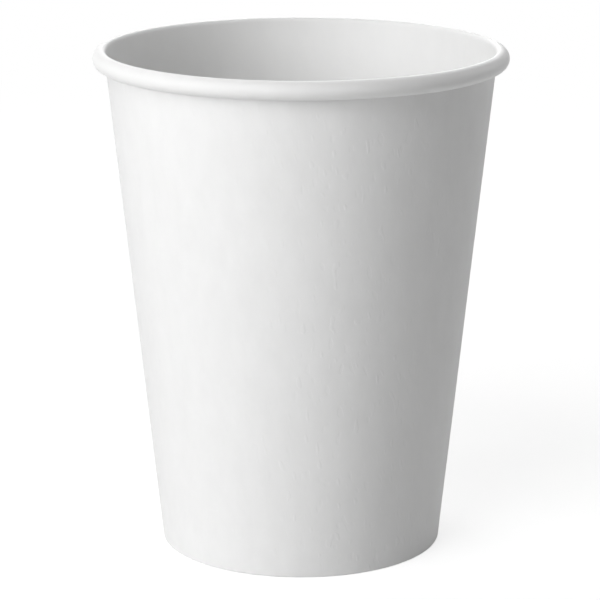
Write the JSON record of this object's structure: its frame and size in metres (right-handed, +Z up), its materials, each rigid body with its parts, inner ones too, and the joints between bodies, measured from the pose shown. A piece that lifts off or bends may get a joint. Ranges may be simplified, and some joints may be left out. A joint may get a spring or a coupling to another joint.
{
  "type": "paper coffee cup",
  "caption": "Plain white paper hot-drink cup: a tapered sidewall with a lapped side seam, a rolled rim and a turned-in foot, and a raised base board.",
  "frame": {"origin": "centre of the foot ring, on the surface that the cup stands on", "axes": "+Z up along the cup's axis to the rim; the picture looks along +Y, with +X to its right; the side seam is 23.5 degrees from +X towards +Y"},
  "size_m": [0.09, 0.09, 0.11],
  "materials": {
    "cup_board": "white uncoated outside, thin waterproof film inside, satin",
    "base_board": "white board with a thin waterproof film on its upper face, satin"
  },
  "bodies": {
    "root": {"sidewall": "cup_board", "base_disc": "base_board"}
  },
  "joints": []
}
